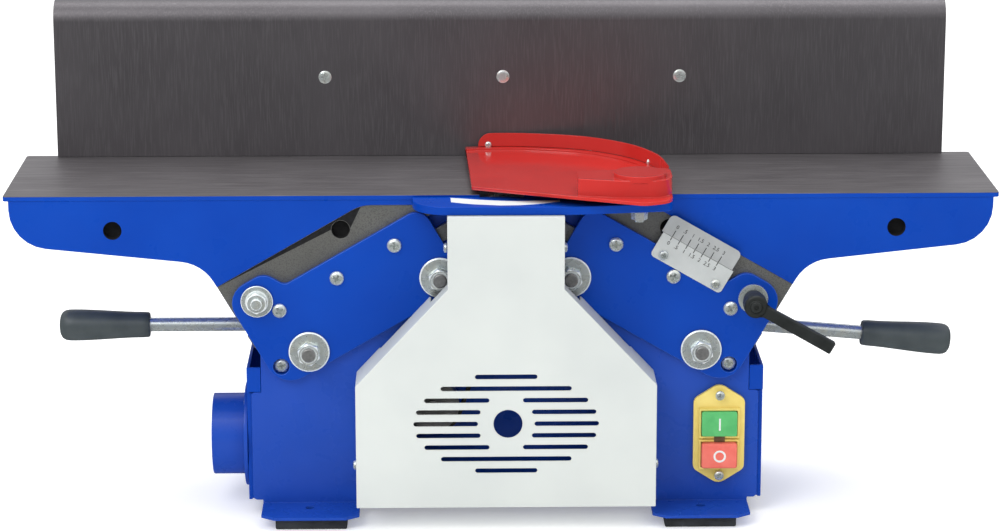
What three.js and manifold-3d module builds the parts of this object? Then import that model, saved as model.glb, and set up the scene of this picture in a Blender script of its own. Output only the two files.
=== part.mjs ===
// A benchtop surface planer (jointer), in millimetres: X along the tables, Y from the front to the
// rear, Z up from the floor. Two cast tables climb 30 degree ramps on each side of a cutterhead that
// a belt drives from a motor in the sheet metal body below. Every piece is placed from the body's
// centre line (x = 0) and the tables' front edge (y = 0); the last lines move the origin to the
// middle of the floor area.
import * as THREE from "three";
import { mergeVertices } from "three/addons/utils/BufferGeometryUtils.js";
import Module from "manifold-3d";

const wasm = await Module();
wasm.setup();

// Driving dimensions
const TABLE_TOP = 302; // height of both tables
const TABLE_DEPTH = 175; // width of the planing surface
const TABLE_END = 446.8; // from the tables' middle to each end
const TABLE_OFFSET = 2.8; // the tables' middle lies this far left of the body's
const MOUTH = 20; // half of the opening between the two tables
const SLOPE = THREE.MathUtils.degToRad(30);
const SHEET = 3; // body panels
const GAP = 0.3; // between two pieces that touch
const BODY_HALF = 231;
const BODY_FRONT = 1.8; // front panel's outer face
const FLOOR_CLEARANCE = 10; // thickness of the rubber feet
const CUTTER_HEIGHT = 272;
const CUTTING_RADIUS = 29.7;
const COVER_DEPTH = 48;
const MOTOR = { x: -66, z: 115, radius: 46 };
const FENCE = { left: -419.4, right: 417.3, front: 167, thickness: 3, height: 147.7 };
const FENCE_HINGE = { y: 188, z: 309 };
const LEVER = { x: 205, z: 159.5, y: 87.5, rod: 6.5, crank: 11.6 };
const GUARD = { x: 119, y: -26, bottom: 306.4 };
const BOLTS_ALONG = [225.5, 88.5]; // ramp distance of the two bolts of each side plate
const BOLT_HEIGHT = -35.75;
const STUD = { along: 242, height: 28.4 };

const SIDES = { outfeed: -1, infeed: 1 };

// Geometry helpers
// A point on a ramp: `along` is the distance down the slope, `height` the distance above it.
const onRamp = (side, along, height) => [
  side * (along * Math.cos(SLOPE) + height * Math.sin(SLOPE)),
  TABLE_TOP - along * Math.sin(SLOPE) + height * Math.cos(SLOPE),
];
// The same distance from the tables' middle, on the body's own axis.
const reach = (side, x) => side * x - TABLE_OFFSET;

const circle = (cx, cy, radius, steps = 24) =>
  Array.from({ length: steps }, (_, i) => {
    const angle = (2 * Math.PI * i) / steps;
    return [cx + radius * Math.cos(angle), cy + radius * Math.sin(angle)];
  });

const rectangle = (x0, x1, y0, y1) => [[x0, y0], [x1, y0], [x1, y1], [x0, y1]];
const order = (a, b) => [Math.min(a, b), Math.max(a, b)];

// An outline with its corners rounded: each corner is [x, y] or [x, y, radius].
function rounded(corners, steps = 6) {
  return corners.flatMap(([x, y, radius], i) => {
    if (!radius) return [[x, y]];
    const corner = new THREE.Vector2(x, y);
    const before = new THREE.Vector2(...corners.at(i - 1).slice(0, 2)).sub(corner).normalize();
    const [nextX, nextY] = corners[(i + 1) % corners.length];
    const after = new THREE.Vector2(nextX, nextY).sub(corner).normalize();
    const half = Math.acos(THREE.MathUtils.clamp(before.dot(after), -1, 1)) / 2;
    const inward = before.clone().add(after).normalize();
    const centre = inward.multiplyScalar(radius / Math.sin(half)).add(corner);
    const start = before.multiplyScalar(radius / Math.tan(half)).add(corner).sub(centre);
    const end = after.multiplyScalar(radius / Math.tan(half)).add(corner).sub(centre);
    const turn = Math.atan2(start.cross(end), start.dot(end));
    return Array.from({ length: steps + 1 }, (_, k) => {
      const point = start.clone().rotateAround(new THREE.Vector2(), (turn * k) / steps).add(centre);
      return [point.x, point.y];
    });
  });
}

// A slot with round ends between two points.
function slot([x0, y0], [x1, y1], radius, steps = 6) {
  const heading = Math.atan2(y1 - y0, x1 - x0);
  const end = (x, y, from) =>
    Array.from({ length: steps + 1 }, (_, k) => {
      const angle = heading + from + (Math.PI * k) / steps;
      return [x + radius * Math.cos(angle), y + radius * Math.sin(angle)];
    });
  return [...end(x1, y1, -Math.PI / 2), ...end(x0, y0, Math.PI / 2)];
}

const solidOf = (geometry) => {
  const bare = geometry.clone();
  bare.deleteAttribute("normal");
  bare.deleteAttribute("uv");
  const merged = mergeVertices(bare, 1e-3);
  return new wasm.Manifold(
    new wasm.Mesh({
      numProp: 3,
      vertProperties: merged.attributes.position.array,
      triVerts: new Uint32Array(merged.index.array),
    }),
  );
};

const extruded = (outline, depth) =>
  new THREE.ExtrudeGeometry(
    new THREE.Shape(outline.map(([x, y]) => new THREE.Vector2(x, y))),
    { depth, bevelEnabled: false },
  );
// An X-Z outline that runs from y0 to y1, an X-Y outline from z0 to z1, and a Y-Z one from x0 to x1.
const upright = (outline, y0, y1) =>
  solidOf(extruded(outline, y1 - y0).rotateX(Math.PI / 2).translate(0, y1, 0));
const flat = (outline, z0, z1) => solidOf(extruded(outline, z1 - z0).translate(0, 0, z0));
const crosswise = (outline, x0, x1) => {
  const turn = new THREE.Matrix4().makeBasis(
    new THREE.Vector3(0, 1, 0), new THREE.Vector3(0, 0, 1), new THREE.Vector3(1, 0, 0),
  );
  return solidOf(extruded(outline, x1 - x0).applyMatrix4(turn).translate(x0, 0, 0));
};
const block = (x0, x1, y0, y1, z0, z1) => flat(rectangle(x0, x1, y0, y1), z0, z1);

// A turned piece: the profile is a list of [radius, distance along the axis].
const lathe = (profile, steps) =>
  new THREE.LatheGeometry(profile.map(([r, h]) => new THREE.Vector2(r, h)), steps);
const turnedY = (profile, x, z, steps = 32) => solidOf(lathe(profile, steps).translate(x, 0, z));
const turnedX = (profile, y, z, steps = 32) =>
  solidOf(lathe(profile, steps).rotateZ(-Math.PI / 2).translate(0, y, z));
const turnedZ = (profile, x, y, steps = 32) =>
  solidOf(lathe(profile, steps).rotateX(Math.PI / 2).translate(x, y, 0));
const rod = (radius, from, to) => [[0, from], [radius, from], [radius, to], [0, to]];

const join = (...solids) => solids.reduce((whole, solid) => whole.add(solid));
const cut = (solid, ...tools) => tools.reduce((rest, tool) => rest.subtract(tool), solid);

// Materials
const finish = (color, roughness, metalness = 0) =>
  new THREE.MeshStandardMaterial({ color, roughness, metalness });
const MATERIALS = {
  blue: finish("#0b3fb4", 0.35),
  cover: finish("#d5d9d6", 0.5),
  iron: finish("#6b6767", 0.45, 0.8),
  fence: finish("#57504f", 0.45, 0.7),
  red: finish("#c8201d", 0.25),
  zinc: finish("#b9bcb8", 0.35, 0.9),
  steel: finish("#9a9894", 0.3, 0.9),
  rubber: finish("#242424", 0.8),
  plastic: finish("#202124", 0.55),
  yellow: finish("#f0cf52", 0.5),
  green: finish("#2f9c47", 0.45),
  stop: finish("#d8433f", 0.45),
  scale: finish("#c9cbc8", 0.4, 0.6),
};

const machine = new THREE.Group();
function add(name, material, solid) {
  const { vertProperties, triVerts } = solid.getMesh();
  const geometry = new THREE.BufferGeometry();
  geometry.setAttribute("position", new THREE.BufferAttribute(vertProperties, 3));
  geometry.setIndex(new THREE.BufferAttribute(triVerts, 1));
  geometry.computeVertexNormals();
  const mesh = new THREE.Mesh(geometry, MATERIALS[material]);
  mesh.name = name;
  machine.add(mesh);
}
// The rear of the machine repeats the front: a depth interval seen from the front or the rear edge.
const depthFrom = (end, y0, y1) => (end === "front" ? [y0, y1] : [TABLE_DEPTH - y1, TABLE_DEPTH - y0]);

// Tables: a lipped plate on two webs, whose lower edges slide along the body's ramps
const WEB = 14; // inner face of each web, from the table's edge
const LIP = 0.8; // the table's edge stands this far proud of its webs
// The crank turns 15 degrees to each side of square to the slope as a table makes its travel.
const CRANK_SWING = THREE.MathUtils.degToRad(15);
const pivotDrop = TABLE_TOP - LEVER.z;
const CRANK_PIN = {
  along: LEVER.x * Math.cos(SLOPE) + pivotDrop * Math.sin(SLOPE) - LEVER.crank * Math.sin(CRANK_SWING),
  height: LEVER.x * Math.sin(SLOPE) - pivotDrop * Math.cos(SLOPE) - LEVER.crank * Math.cos(CRANK_SWING),
  radius: 3,
};
const STRIP = BODY_FRONT; // depth to which the ramp side of a web is machined back
const GIB = { inner: 98, outer: 240, low: 4, high: 17, front: 1.8, back: 7.8 };

function tableWeb(side, end) {
  const outline = rounded([
    [side * 42, 299],
    [reach(side, 442), 299],
    [reach(side, 442), 256.8, 36],
    [side * 272.4, 238.8, 38],
    onRamp(side, 267.5, -10),
    [side * 42, 266.2],
  ]);
  const machined = rounded([
    [side * 20, 292.5],
    [side * 129.7, 292.5, 35],
    onRamp(side, 310, 56.6),
    onRamp(side, 310, -60),
    onRamp(side, -20, -60),
  ]);
  const groove = [[-60, 3.7], [310, 3.7], [310, 17.3], [-60, 17.3]].map((p) => onRamp(side, ...p));
  return cut(
    upright(outline, ...depthFrom(end, LIP, WEB)),
    upright(machined, ...depthFrom(end, -1, STRIP)),
    upright(groove, ...depthFrom(end, -1, GIB.back + GAP)),
    upright(circle(side * 352.4, 270, 8.2), ...depthFrom(end, -1, 11)),
    upright(circle(side * 147.8, 270, 8.2), ...depthFrom(end, -1, 11)),
  );
}

// The lug that the lever's crank pin pushes, with a slot across the slope.
function cranklug(side, pinAlong, pinHeight) {
  const plate = rounded([
    [side * 300, 292],
    [side * 150, 292],
    [...onRamp(side, pinAlong - 16, pinHeight - 9), 7],
    [...onRamp(side, pinAlong + 16, pinHeight - 9), 7],
  ]);
  const travel = slot(onRamp(side, pinAlong, pinHeight - 1), onRamp(side, pinAlong, pinHeight + 0.6), 3.4);
  return cut(upright(plate, 108, 116), upright(travel, 107, 117));
}

function table(side) {
  const plate = flat(
    rounded([
      [reach(side, MOUTH), 0],
      [reach(side, TABLE_END), 0, 3],
      [reach(side, TABLE_END), TABLE_DEPTH, 3],
      [reach(side, MOUTH), TABLE_DEPTH],
    ]),
    TABLE_TOP - 4.5,
    TABLE_TOP,
  );
  const bed = block(...order(side * 44, reach(side, 440)), 10, TABLE_DEPTH - 10, 290, TABLE_TOP - 2);
  const innerWall = block(...order(side * 43, side * 50), 10, TABLE_DEPTH - 10, 267.5, 299);
  const outerWall = block(...order(reach(side, 420), reach(side, 427)), 10, TABLE_DEPTH - 10, 268, 299);
  const studHole = upright(circle(...onRamp(side, STUD.along, STUD.height), 5.3), 0, 12.3);
  return cut(
    join(plate, bed, innerWall, outerWall, tableWeb(side, "front"), tableWeb(side, "rear"),
      cranklug(side, CRANK_PIN.along, CRANK_PIN.height)),
    studHole,
  );
}

// Levers: a shaft held in the front panel with a hand lever, and a crank whose pin moves the table
function lever(side, length, droop) {
  const { x, z, y } = { ...LEVER, x: side * LEVER.x };
  const pin = onRamp(side, CRANK_PIN.along, CRANK_PIN.height);
  const angle = side < 0 ? Math.PI : -droop;
  const along = (geometry) => geometry.rotateY(-angle).translate(x, y, z);
  const crank = rounded([
    [x - 15, z + 13, 9],
    [x + 15, z + 13, 9],
    [pin[0] + 10, pin[1] - 8, 7],
    [pin[0] - 10, pin[1] - 8, 7],
  ]);
  const bar = solidOf(along(lathe(rod(LEVER.rod, 5, length - 71), 20).rotateZ(-Math.PI / 2)));
  const grip = solidOf(along(lathe([
    [LEVER.rod + GAP, length - 84], [11.8, length - 84], [12, length - 60], [14.5, length - 12],
    [13.5, length - 6], [10, length - 2], [0, length], [0, length - 70], [LEVER.rod + GAP, length - 70],
    [LEVER.rod + GAP, length - 84],
  ], 20).rotateZ(-Math.PI / 2)));
  const shaft = turnedY(
    [[0, BODY_FRONT + GAP], [7, BODY_FRONT + GAP], [7, 40], [14, 40], [14, 101],
      [0, 101]], x, z, 24);
  const crankPin = turnedY(rod(CRANK_PIN.radius, 105, 118), ...pin, 16);
  const hand = join(shaft, upright(crank, 99, 106), crankPin, bar);
  return { hand, grip };
}

const boltHoles = (side, y0, y1) => BOLTS_ALONG.map((along) =>
  upright(circle(...onRamp(side, along, BOLT_HEIGHT), 6.4, 20), y0, y1));

// Body: two folded panels joined by end panels
const NECK = 38; // half of the panels' width between the tables
const NECK_TOP = 294.2;
const FLANGE = { inner: 133, outer: 222, front: -43, chamfer: 12 }; // foot flanges, bent forward
function bodyPanel(end) {
  const underRamp = (x) => [x, TABLE_TOP - (11.5 + x * Math.sin(SLOPE)) / Math.cos(SLOPE)];
  const right = [
    [FLANGE.inner, 15.5], [FLANGE.inner, FLOOR_CLEARANCE], [FLANGE.outer, FLOOR_CLEARANCE],
    [FLANGE.outer, 15.5], [BODY_HALF, 15.5, 4], [BODY_HALF, 118, 3], [FLANGE.outer, 118],
    underRamp(FLANGE.outer), underRamp(NECK), [NECK, NECK_TOP],
  ];
  const left = right.map(([x, z, radius]) => [-x, z, radius]).reverse();
  const face = rounded([...right, ...left], 4);
  const { inner, outer, front, chamfer } = FLANGE;
  const foot = (side) => [
    [inner, 4], [inner, front + 9], [inner + chamfer, front], [outer - chamfer, front],
    [outer, front + 9], [outer, 4],
  ].map(([x, y]) => [side * x, y]);
  const footHole = (side) => circle(side * 178.5, -13, 4, 16);
  const flange = (side) => {
    const place = (outline) => outline.map(([x, y]) => [x, end === "front" ? y : TABLE_DEPTH - y]);
    return cut(
      flat(place(foot(side)), FLOOR_CLEARANCE, FLOOR_CLEARANCE + SHEET),
      flat(place(footHole(side)), 0, 20),
    );
  };
  const bolts = Object.values(SIDES).flatMap((side) => boltHoles(side, ...depthFrom(end, 0, 9)));
  const sheet = upright(face, ...depthFrom(end, BODY_FRONT, BODY_FRONT + SHEET));
  const panel = join(sheet, flange(-1), flange(1));
  const shafts = [
    [0, CUTTER_HEIGHT, 9], [MOTOR.x, MOTOR.z, 9], [-LEVER.x, LEVER.z, 7.4], [LEVER.x, LEVER.z, 7.4],
  ].map(([x, z, radius]) => upright(circle(x, z, radius), 0, 9));
  return cut(panel, ...bolts, ...(end === "front" ? shafts : []));
}

function endPanel(side) {
  const front = BODY_FRONT;
  const rear = TABLE_DEPTH - front;
  const lap = SHEET + GAP; // the plate stands behind the panels, and its top tabs beside them
  const tabs = [118.3, 141.4];
  const plate = crosswise([
    [front + lap, 15], [rear - lap, 15], [rear - lap, tabs[0]], [rear, tabs[0]],
    [rear, tabs[1]], [front, tabs[1]], [front, tabs[0]], [front + lap, tabs[0]],
  ], ...order(side * 232, side * 235));
  const flanges = ["front", "rear"].flatMap((end) => [
    block(...order(side * 222.3, side * 233), ...depthFrom(end, front, front + SHEET), ...tabs),
    block(...order(side * 222.3, side * 233), ...depthFrom(end, front + lap, front + lap + SHEET), 16, 117),
  ]);
  const panel = join(plate, ...flanges);
  return side < 0 ? cut(panel, turnedX(rod(PORT.bore + GAP, -240, -225), PORT.y, PORT.z)) : panel;
}

function foot(side, end) {
  const [y0, y1] = depthFrom(end, -38, 4);
  return flat(rounded([
    [side * 144, y0, 3], [side * 209, y0, 3], [side * 209, y1, 3], [side * 144, y1, 3],
  ], 3), 0, FLOOR_CLEARANCE - GAP);
}

// Side plates: each is bolted to a body panel and carries the bar that keeps the table on its ramp
const PLATE = { front: -4.5, back: 1.5 };
const plateOutline = (side) => {
  const corners = [[70, 28.5, 14], [213, 28.5, 8], [224, 47.4, 15], [265.5, 47.4, 20], [265.5, -54, 23],
    [70, -54, 20]];
  return rounded(corners.map(([along, height, radius]) => [...onRamp(side, along, height), radius]));
};

function sidePlate(side, end) {
  const depth = depthFrom(end, PLATE.front - 2, PLATE.back + 2);
  const travel = 6.4;
  const { along, height } = STUD;
  const studSlot = slot(onRamp(side, along, height), onRamp(side, along + travel, height), 5.4);
  return cut(
    upright(plateOutline(side), ...depthFrom(end, PLATE.front, PLATE.back)),
    upright(studSlot, ...depth),
    upright(circle(...onRamp(side, 254.8, -35.5), 7.5), ...depth),
    ...boltHoles(side, ...depth),
  );
}

const gibBar = (side, end) => upright([
  onRamp(side, GIB.inner, GIB.low), onRamp(side, GIB.outer, GIB.low),
  onRamp(side, GIB.outer, GIB.high), onRamp(side, GIB.inner, GIB.high),
], ...depthFrom(end, GIB.front, GIB.back));

// A bolt through the side plate and the body panel, with a wide washer and a nut in front.
function plateBolt(side, along) {
  const place = onRamp(side, along, BOLT_HEIGHT);
  const face = PLATE.front - GAP;
  return join(
    turnedY(rod(6, -24, 12), ...place, 20),
    turnedY(rod(18.5, face - 2.5, face), ...place),
    upright(circle(...place, 10.7, 6), face - 12.5, face - 2),
    upright(circle(...place, 10.7, 6), BODY_FRONT + SHEET + GAP, 12.4),
  );
}

// Table locks: a stud in each table, through the slot of its side plate
function lockStud(side) {
  const place = onRamp(side, STUD.along, STUD.height);
  const face = PLATE.front - GAP;
  const washer = turnedY(rod(side < 0 ? 14.5 : 13.5, face - 2.5, face), ...place, 28);
  const nut = upright(circle(...place, 9.8, 6), face - 10.5, face - 2);
  const stud = turnedY(rod(5, side < 0 ? -19 : -30, 12), ...place, 20);
  return side < 0 ? join(stud, washer, nut) : join(stud, washer);
}

function clampLever() {
  const [x, z] = onRamp(1, STUD.along, STUD.height);
  const hub = turnedY([[5.3, -7.6], [5.3, -30.3], [0, -30.3], [0, -36], [9.5, -36], [10.7, -34.5],
    [10.7, -20], [9, -7.6], [5.3, -7.6]], x, z, 24);
  const tilt = THREE.MathUtils.degToRad(-29.5);
  const point = (along, across) => [
    x + along * Math.cos(tilt) - across * Math.sin(tilt),
    z + along * Math.sin(tilt) + across * Math.cos(tilt),
  ];
  const arm = rounded([
    [...point(7, 5.2), 1], [...point(7, -5.2), 1], [...point(80, -5.8), 1.5], [...point(80, 5.8), 1.5],
  ]);
  return join(hub, upright(arm, -35.5, -27));
}

// Belt drive and its cover
const PULLEY = { cutter: 14.5, motor: 24, front: -33, back: -17 };
const NECK_COVER = 52;
const coverOutline = (wall) => {
  const shoulder = wall * 0.42; // keeps the sloping walls as thick as the upright ones
  const right = [[135 - wall, 23.3 + wall], [135 - wall, 137.4 - shoulder],
    [NECK_COVER - wall, 226.3 - shoulder], [NECK_COVER - wall, 292.2 - wall]];
  return [...right, ...right.map(([x, z]) => [-x, z]).reverse()];
};

const VENTS = { x: 1.6, z: 101.9, pitch: 10.95, slot: 2.05, hole: 13 };
// Rows of slots above and below the round hole, the outermost first; the inner rows leave it a ring.
function ventSlots() {
  const rows = [[[-28, 28]], [[-58.7, 58.7]], [[15, 73.5]], [[23, 80.8]], [[25.3, 83.3]]];
  return rows.flatMap((spans, row) =>
    spans.flatMap(([from, to]) => {
      const rise = (rows.length - 1 - row) * VENTS.pitch;
      const offsets = rise ? [rise, -rise] : [0];
      const sides = from < 0 ? [[from, to]] : [[from, to], [-to, -from]];
      return offsets.flatMap((dz) => sides.map(([a, b]) =>
        upright(slot([a + 2, VENTS.z + dz], [b - 2, VENTS.z + dz], VENTS.slot, 4), -60, -30)));
    }));
}

function beltCover() {
  const wall = 1.5;
  const shell = cut(
    upright(coverOutline(0), -COVER_DEPTH, 1.5),
    upright(coverOutline(wall), wall - COVER_DEPTH, 3),
    upright(circle(VENTS.x, VENTS.z, VENTS.hole, 32), -60, -30),
    ...ventSlots(),
  );
  // The upper walls end in front of the side plates, with a round notch for each upper bolt.
  const upper = block(-140, 140, PLATE.front - GAP, 3, 160, 300);
  const notches = Object.values(SIDES).map((side) =>
    upright(circle(...onRamp(side, BOLTS_ALONG[1], BOLT_HEIGHT), 20, 28), -27, 3));
  return cut(shell, upper, ...notches);
}

// The outline of a band round both pulleys, `clear` outside their rims.
function bandOutline(clear) {
  const [dx, dz] = [-MOTOR.x, CUTTER_HEIGHT - MOTOR.z];
  const heading = Math.atan2(dz, dx);
  const lean = Math.acos((PULLEY.motor - PULLEY.cutter) / Math.hypot(dx, dz));
  const arc = (x, z, radius, from, to) =>
    Array.from({ length: 17 }, (_, k) => {
      const angle = heading + from + ((to - from) * k) / 16;
      return [x + radius * Math.cos(angle), z + radius * Math.sin(angle)];
    });
  return [
    ...arc(MOTOR.x, MOTOR.z, PULLEY.motor + clear, lean, 2 * Math.PI - lean),
    ...arc(0, CUTTER_HEIGHT, PULLEY.cutter + clear, -lean, lean),
  ];
}

function pulley(radius, bore, x, z) {
  const { front, back } = PULLEY;
  return turnedY([[bore, front - 3], [12.6, front - 3], [12.6, front], [radius, front], [radius, back],
    [bore, back], [bore, front - 3]], x, z, 36);
}

// Cutterhead: a block on two journals with three clamped knives
const BLOCK = { from: 17, to: 158, radius: 28 };
const KNIVES = 3;
const spoke = (angle, inner, outer, half) =>
  [[inner, -half], [outer, -half], [outer, half], [inner, half]].map(([r, w]) => [
    r * Math.cos(angle) - w * Math.sin(angle),
    CUTTER_HEIGHT + r * Math.sin(angle) + w * Math.cos(angle),
  ]);
const knifeAngle = (index) => Math.PI / 2 + 0.3 + (2 * Math.PI * index) / KNIVES;

function cutterBlock() {
  const body = turnedY([[0, -39], [8, -39], [8, BLOCK.from], [BLOCK.radius, BLOCK.from],
    [BLOCK.radius, BLOCK.to], [8, BLOCK.to], [8, 167], [0, 167]], 0, CUTTER_HEIGHT, 48);
  const slots = Array.from({ length: KNIVES }, (_, i) =>
    upright(spoke(knifeAngle(i), 16, 31, 1.8), BLOCK.from - 1, BLOCK.to + 1));
  return cut(body, ...slots);
}

function bearingHousing(end) {
  const outline = rounded([[-36, 238, 4], [36, 238, 4], [36, 293.8, 4], [-36, 293.8, 4]], 4);
  return cut(
    upright(outline, ...depthFrom(end, 5.1, 14)),
    upright(circle(0, CUTTER_HEIGHT, 8.3, 48), ...depthFrom(end, 4, 15)),
  );
}

// Motor, chip chute and dust port
const PORT = { y: 50, z: 65, bore: 34.5, wall: 3, flange: 48, mouth: -269 };

function chipChute() {
  const outline = (wall) => {
    const rise = wall / Math.cos(SLOPE);
    return [
      [-36 + wall, 238 + wall], [34 - wall, 238 + wall], [34 - wall, 229 + rise - 0.58 * wall],
      [-140 - 0.9 * wall, 128.5 + rise - 0.58 * wall], [-170 - wall, 28 + wall], [-231.5 - wall, 28 + wall],
      [-231.5 - wall, 102 - wall], [-172 - 0.3 * wall, 130 - 1.2 * wall], [-150, 174.5 - rise - 0.5 * wall],
    ];
  };
  return cut(upright(outline(0), 13.5, 86.5), upright(outline(2), 15.5, 84.5));
}

function dustPort() {
  const { y, z, bore, wall, flange, mouth } = PORT;
  const [face, back] = [-239, -235.3]; // of the flange, against the end panel
  return turnedX([[bore, mouth], [bore + wall, mouth], [bore + wall, face], [flange, face], [flange, back],
    [bore, back], [bore, mouth]], y, z, 48);
}

function motorBody() {
  const { x, z, radius } = MOTOR;
  const shoulder = radius - 6;
  return turnedY([[6.3, 7], [shoulder, 7], [radius, 14], [radius, 143], [shoulder, 150], [0, 150], [0, 60],
    [6.3, 60], [6.3, 7]], x, z, 36);
}

// Switch: a yellow front with two framed pockets for the buttons
const SWITCH = { x: 195, z: 77.5 };
const BUTTONS = { start: [76.6, 100], stop: [47, 70.6] };
const BUTTON_HALF = 16.2;

function switchFront() {
  const { x, z } = SWITCH;
  const outline = rounded([
    [x, z + 48, 10], [x - 23.4, z + 33, 7], [x - 23.4, z - 33, 7],
    [x, z - 48, 10], [x + 23.4, z - 33, 7], [x + 23.4, z + 33, 7],
  ], 4);
  const around = (z0, z1, spare) => rectangle(
    x - BUTTON_HALF - spare, x + BUTTON_HALF + spare, z0 - spare, z1 + spare);
  const frames = Object.values(BUTTONS).map((span) => upright(around(...span, 2.4), -6, -2));
  const pockets = Object.values(BUTTONS).map((span) => upright(around(...span, 0.35), -8, -1));
  return cut(join(upright(outline, -2.6, BODY_FRONT - GAP), ...frames), ...pockets);
}

const button = (name, front) => {
  const { x } = SWITCH;
  const [z0, z1] = BUTTONS[name];
  return upright(rounded([
    [x - BUTTON_HALF, z0, 2], [x + BUTTON_HALF, z0, 2], [x + BUTTON_HALF, z1, 2], [x - BUTTON_HALF, z1, 2],
  ], 3), front, -4.4);
};

// Depth scale: the lower half stays on the side plate, the upper half rides on the infeed table
const SCALE_SPLIT = 41.4;
function scalePlate(from, to, low, high, lowRadius, highRadius) {
  const outline = rounded([
    [...onRamp(1, from, low), lowRadius], [...onRamp(1, to, low), lowRadius],
    [...onRamp(1, to, high), highRadius], [...onRamp(1, from, high), highRadius],
  ]);
  return upright(outline, PLATE.front - GAP - 0.8, PLATE.front - GAP);
}
const movingScale = () => join(
  scalePlate(138.3, 211.7, SCALE_SPLIT + GAP, 60, 0, 5),
  upright([onRamp(1, 148, 50), onRamp(1, 201, 50), onRamp(1, 201, 56), onRamp(1, 148, 56)],
    PLATE.front - GAP - 0.4, BODY_FRONT - GAP),
);

// Guard shelf and the swinging guard
const SHELF_TOP = 300;
function guardShelf() {
  const outline = rounded([
    [-83, -0.5], [-83, -41, 32], [60, -42, 120], [149, -30, 12], [149, -0.5],
  ], 8);
  return cut(
    join(flat(outline, SHELF_TOP - 7.5, SHELF_TOP), block(-36, 36, -1.5, 1.5, 282, 293)),
    turnedZ(rod(4.3, 280, 310), GUARD.x, GUARD.y, 20),
  );
}

const GUARD_BACK = [[-34.7, 162], [-8, 165.5], [30, 162.5], [79, 147], [118, 113], [140, 70], [149, 25]];
const guardBack = (inward = 0) => {
  const curve = new THREE.SplineCurve(GUARD_BACK.map(([x, y]) => new THREE.Vector2(x, y)));
  return Array.from({ length: 21 }, (_, k) => {
    const point = curve.getPoint(k / 20);
    const along = curve.getTangent(k / 20);
    return [point.x + inward * along.y, point.y - inward * along.x];
  });
};
const RIM = 5; // height of the guard's raised back edge
const strip = (outer, inner) => [...guardBack(outer), ...guardBack(inner).reverse()];

function guardPlate() {
  const { x, y, bottom } = GUARD;
  const plate = rounded([...guardBack(), [147, -58, 20], [121, -69, 12], [-30, -1, 2]], 4);
  const housing = rounded([[64, -38, 2], [98, -47, 30], [148, -50, 22], [148, 8, 8], [64, -5, 2]], 5);
  return cut(
    join(
      flat(plate, bottom, bottom + 3),
      flat(strip(0.2, 10), bottom + 2, bottom + RIM),
      flat(housing, bottom + 2, bottom + 17.9),
      turnedZ(rod(23.5, bottom + 16, bottom + 21.6), x, y, 36),
    ),
    turnedZ(rod(4.3, bottom - 1, bottom + 15.5), x, y, 20),
  );
}

// A sheet bent along the rim: its side view has a round corner at each end.
function guardWing() {
  const foot = GUARD.bottom + RIM + GAP;
  const crest = GUARD.bottom + 17.9;
  const side = rounded([[-22.6, foot], [152, foot], [152, crest, 10], [-22.6, crest, 12]]);
  return flat(strip(0.6, 2.4), foot - 1, crest + 1).intersect(upright(side, -40, 200));
}

function guardPivot() {
  const { x, y, bottom } = GUARD;
  return join(
    turnedZ(rod(4, 282.5, bottom + 15), x, y, 20),
    turnedZ(rod(10, SHELF_TOP + GAP, bottom - GAP), x, y, 24),
    flat(circle(x, y, 7.5, 6), 284.8, SHELF_TOP - 7.5 - GAP),
  );
}

// Fence, with the hinge that lets it lean back
const HINGE = { radius: 9, pin: 4, arms: [30, 36] };
const QUADRANT = { radius: 42, from: 5, to: -50, inner: 36.4, outer: 40.4 };
const aroundHinge = (radius, degrees) => {
  const angle = THREE.MathUtils.degToRad(degrees);
  return [FENCE_HINGE.y + radius * Math.cos(angle), FENCE_HINGE.z + radius * Math.sin(angle)];
};
const arcAroundHinge = (radius, from, to, steps = 12) =>
  Array.from({ length: steps + 1 }, (_, k) => aroundHinge(radius, from + ((to - from) * k) / steps));

function fencePanel() {
  const { left, right, front, thickness, height } = FENCE;
  const bottom = TABLE_TOP + GAP;
  const top = TABLE_TOP + height;
  const bend = 19;
  const back = front + thickness;
  const profile = rounded([
    [front, bottom], [front, top, bend], [front + 24, top], [front + 24, top - thickness],
    [back, top - thickness, bend - thickness], [back, bottom],
  ]);
  return crosswise(profile, left, right);
}

function fenceBrace() {
  const back = FENCE.front + FENCE.thickness + GAP;
  const [inner, outer] = HINGE.arms;
  const arm = rounded([
    [back, 366], [back, 330], ...[170, 235, 300, 350, 30].map((angle) => aroundHinge(HINGE.radius, angle)),
    [back + 8, 366],
  ]);
  const tail = rounded([
    aroundHinge(7, 90), aroundHinge(7, 270), [...aroundHinge(52, -9), 6], [...aroundHinge(52, 9), 6],
  ]);
  const pinHole = crosswise(circle(FENCE_HINGE.y, FENCE_HINGE.z, HINGE.pin + GAP, 20), -60, 60);
  return cut(
    join(
      block(-185, 185, back, back + 6, 364, 390),
      crosswise(arm, inner, outer),
      crosswise(arm, -outer, -inner),
      crosswise(tail, inner, outer),
    ),
    pinHole,
    crosswise(circle(...aroundHinge(QUADRANT.radius, 0), 3.3, 16), inner - 1, outer + 1),
  );
}

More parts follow.
